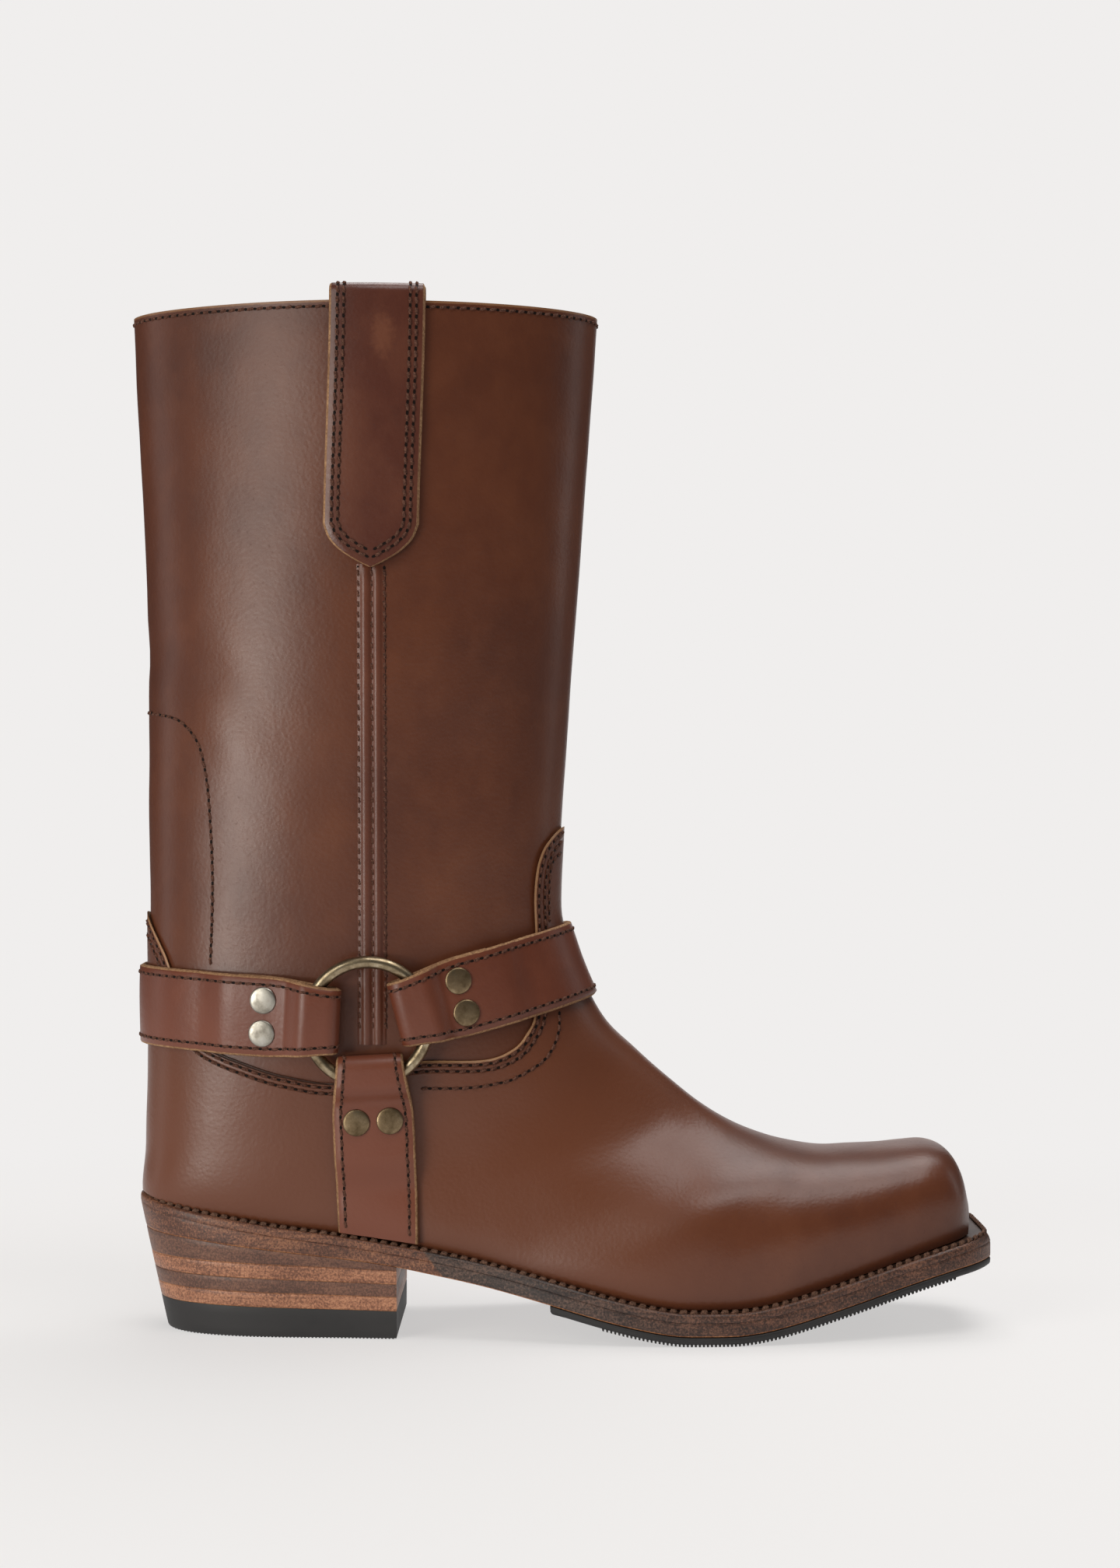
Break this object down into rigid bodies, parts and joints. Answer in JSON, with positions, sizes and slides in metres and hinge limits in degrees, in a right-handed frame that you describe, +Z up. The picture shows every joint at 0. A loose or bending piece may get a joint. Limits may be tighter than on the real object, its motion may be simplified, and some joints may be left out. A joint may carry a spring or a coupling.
{
  "type": "harness boot",
  "caption": "tall pull-on harness boot with a broad square toe, strap harness on brass rings, pull straps and a stacked heel, standing on its sole",
  "frame": {"origin": "on the floor, under the middle of the boot's box", "axes": "+X towards the toe, +Y towards the inner side of the foot, +Z up"},
  "size_m": [0.309, 0.1018, 0.37],
  "materials": {
    "oiled_leather": "oiled, smooth, soft sheen",
    "strap_leather": "oiled, smooth, soft sheen",
    "pull_leather": "oiled, darker, rubbed",
    "welt_leather": "matt, stitched",
    "sole_edge": "burnished, waxed",
    "heel_lift": "burnished, waxed, stacked",
    "insole_leather": "matt",
    "black_rubber": "matt, fine tread",
    "antique_brass": "antique, satin"
  },
  "bodies": {
    "root": {"heel_lift_1": "sole_edge", "heel_lift_2": "heel_lift", "heel_lift_3": "sole_edge", "heel_lift_4": "heel_lift", "heel_top": "black_rubber", "insole": "insole_leather", "outsole": "sole_edge", "pull_inner": "pull_leather", "pull_outer": "pull_leather", "rivet_stirrup_inner_1": "antique_brass", "rivet_stirrup_inner_2": "antique_brass", "rivet_stirrup_outer_1": "antique_brass", "rivet_stirrup_outer_2": "antique_brass", "rivet_strap_front_inner_1": "antique_brass", "rivet_strap_front_inner_2": "antique_brass", "rivet_strap_front_outer_1": "antique_brass", "rivet_strap_front_outer_2": "antique_brass", "rivet_strap_heel_inner_1": "antique_brass", "rivet_strap_heel_inner_2": "antique_brass", "rivet_strap_heel_outer_1": "antique_brass", "rivet_strap_heel_outer_2": "antique_brass", "seam_inner": "oiled_leather", "seam_outer": "oiled_leather", "sole_rubber": "black_rubber", "stirrup_inner": "strap_leather", "stirrup_outer": "strap_leather", "strap_front": "strap_leather", "strap_heel": "strap_leather", "upper": "oiled_leather", "welt": "welt_leather"},
    "ring_outer_body": {"ring_outer": "antique_brass"},
    "ring_inner_body": {"ring_inner": "antique_brass"}
  },
  "joints": [
    {"name": "ring_outer_turn", "type": "hinge", "parent": "root", "child": "ring_outer_body", "pos_m": [-0.06713, -0.04247, 0.11223], "axis": [-0.0384, 0.9984, 0.0424], "continuous": true},
    {"name": "ring_inner_turn", "type": "hinge", "parent": "root", "child": "ring_inner_body", "pos_m": [-0.06714, 0.03983, 0.11223], "axis": [0.0377, 0.9984, -0.0424], "continuous": true}
  ]
}
